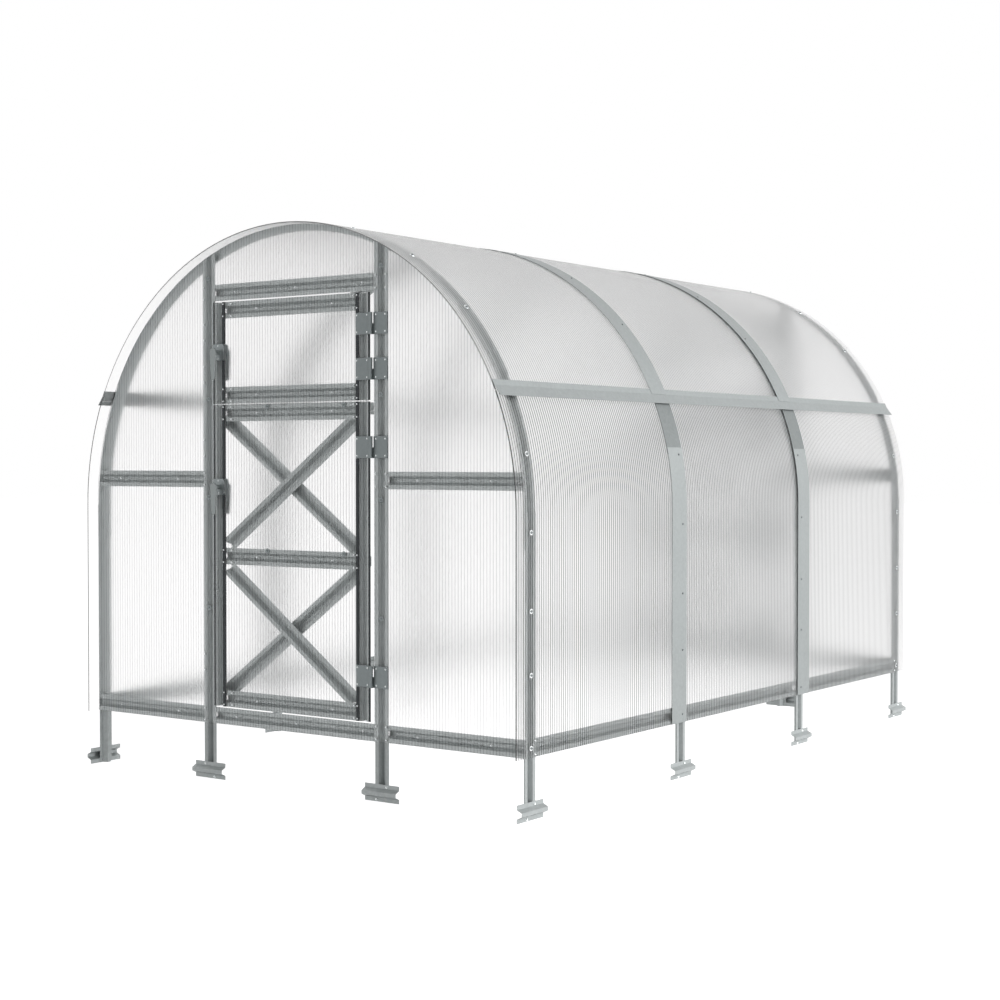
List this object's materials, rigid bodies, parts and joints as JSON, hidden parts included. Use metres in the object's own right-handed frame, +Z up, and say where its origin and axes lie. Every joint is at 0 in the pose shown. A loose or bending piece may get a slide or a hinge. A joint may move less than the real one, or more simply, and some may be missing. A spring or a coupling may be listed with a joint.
{
  "type": "arched greenhouse",
  "caption": "Arched walk-in greenhouse with a folded steel frame, translucent sheets held by cover straps, split doors with turn latches in both gables, and anchor feet.",
  "frame": {"origin": "middle of the plan, on the plane under the feet", "axes": "+X across the width to the right as seen from the front, +Y along the length to the rear, +Z up"},
  "size_m": [2.04, 3.106, 2.0063],
  "materials": {
    "frame_steel": "galvanised, matt spangle",
    "leaf_steel": "galvanised, matt spangle",
    "anchor_steel": "galvanised, matt spangle",
    "strap_steel": "galvanised strip, flat",
    "shoulder_strap_steel": "galvanised strip, flat",
    "hinge_steel": "zinc plated, satin",
    "arch_sheet": "clear twin-wall polycarbonate, flutes round the arch",
    "gable_sheet": "clear twin-wall polycarbonate, flutes upright",
    "leaf_sheet": "clear twin-wall polycarbonate, flutes upright",
    "seal_rubber": "matt black strip",
    "latch_plate": "zinc plated, satin",
    "latch_lever": "zinc plated, satin"
  },
  "bodies": {
    "frame": {"door_lintels": "frame_steel", "eave_bands": "strap_steel", "front_arch_crown": "frame_steel", "front_door_posts": "frame_steel", "front_gable_side_sheets": "gable_sheet", "front_ground_rails": "frame_steel", "front_hinge_post_plates": "hinge_steel", "gable_mid_rails": "frame_steel", "gable_top_sheets": "gable_sheet", "ground_anchors": "anchor_steel", "hinge_pins": "hinge_steel", "left_arch_legs": "frame_steel", "left_arch_shoulders": "frame_steel", "left_ground_rails": "frame_steel", "left_wall_sheets": "arch_sheet", "rear_arch_crown": "frame_steel", "rear_door_posts": "frame_steel", "rear_gable_side_sheets": "gable_sheet", "rear_ground_rails": "frame_steel", "rear_hinge_post_plates": "hinge_steel", "right_arch_legs": "frame_steel", "right_arch_shoulders": "frame_steel", "right_ground_rails": "frame_steel", "right_wall_sheets": "arch_sheet", "roof_cover_straps": "strap_steel", "roof_sheets": "arch_sheet", "second_arch_crown": "frame_steel", "shoulder_cover_straps": "shoulder_strap_steel", "third_arch_crown": "frame_steel", "wall_cover_straps": "strap_steel"},
    "front_upper_door_leaf": {"front_upper_hinge_leaf_plates": "hinge_steel", "front_upper_latch_base_plate": "latch_plate", "front_upper_leaf_rails": "leaf_steel", "front_upper_leaf_seals": "seal_rubber", "front_upper_leaf_sheet": "leaf_sheet", "front_upper_leaf_stiles": "leaf_steel"},
    "front_upper_door_latch": {"front_upper_turn_latch": "latch_lever"},
    "front_lower_door_leaf": {"front_lower_hinge_leaf_plates": "hinge_steel", "front_lower_latch_base_plate": "latch_plate", "front_lower_leaf_braces": "leaf_steel", "front_lower_leaf_rails": "leaf_steel", "front_lower_leaf_seals": "seal_rubber", "front_lower_leaf_sheet": "leaf_sheet", "front_lower_leaf_stiles": "leaf_steel"},
    "front_lower_door_latch": {"front_lower_turn_latch": "latch_lever"},
    "rear_upper_door_leaf": {"rear_upper_hinge_leaf_plates": "hinge_steel", "rear_upper_latch_base_plate": "latch_plate", "rear_upper_leaf_rails": "leaf_steel", "rear_upper_leaf_seals": "seal_rubber", "rear_upper_leaf_sheet": "leaf_sheet", "rear_upper_leaf_stiles": "leaf_steel"},
    "rear_upper_door_latch": {"rear_upper_turn_latch": "latch_lever"},
    "rear_lower_door_leaf": {"rear_lower_hinge_leaf_plates": "hinge_steel", "rear_lower_latch_base_plate": "latch_plate", "rear_lower_leaf_braces": "leaf_steel", "rear_lower_leaf_rails": "leaf_steel", "rear_lower_leaf_seals": "seal_rubber", "rear_lower_leaf_sheet": "leaf_sheet", "rear_lower_leaf_stiles": "leaf_steel"},
    "rear_lower_door_latch": {"rear_lower_turn_latch": "latch_lever"}
  },
  "joints": [
    {"name": "front_upper_door_hinge", "type": "hinge", "parent": "frame", "child": "front_upper_door_leaf", "pos_m": [0.367, -1.5132, 1.5592], "axis": [0, 0, 1], "range_deg": [0, 160]},
    {"name": "front_upper_latch_turn", "type": "hinge", "parent": "front_upper_door_leaf", "child": "front_upper_door_latch", "pos_m": [-0.352, -1.502, 1.5618], "axis": [0, 1, 0], "range_deg": [0, 90]},
    {"name": "front_lower_door_hinge", "type": "hinge", "parent": "frame", "child": "front_lower_door_leaf", "pos_m": [0.367, -1.5132, 0.8203], "axis": [0, 0, 1], "range_deg": [0, 160]},
    {"name": "front_lower_latch_turn", "type": "hinge", "parent": "front_lower_door_leaf", "child": "front_lower_door_latch", "pos_m": [-0.352, -1.502, 1.072], "axis": [0, 1, 0], "range_deg": [0, 90]},
    {"name": "rear_upper_door_hinge", "type": "hinge", "parent": "frame", "child": "rear_upper_door_leaf", "pos_m": [-0.367, 1.5132, 1.5592], "axis": [0, 0, 1], "range_deg": [0, 160]},
    {"name": "rear_upper_latch_turn", "type": "hinge", "parent": "rear_upper_door_leaf", "child": "rear_upper_door_latch", "pos_m": [0.352, 1.502, 1.5618], "axis": [0, -1, 0], "range_deg": [0, 90]},
    {"name": "rear_lower_door_hinge", "type": "hinge", "parent": "frame", "child": "rear_lower_door_leaf", "pos_m": [-0.367, 1.5132, 0.8203], "axis": [0, 0, 1], "range_deg": [0, 160]},
    {"name": "rear_lower_latch_turn", "type": "hinge", "parent": "rear_lower_door_leaf", "child": "rear_lower_door_latch", "pos_m": [0.352, 1.502, 1.072], "axis": [0, -1, 0], "range_deg": [0, 90]}
  ]
}
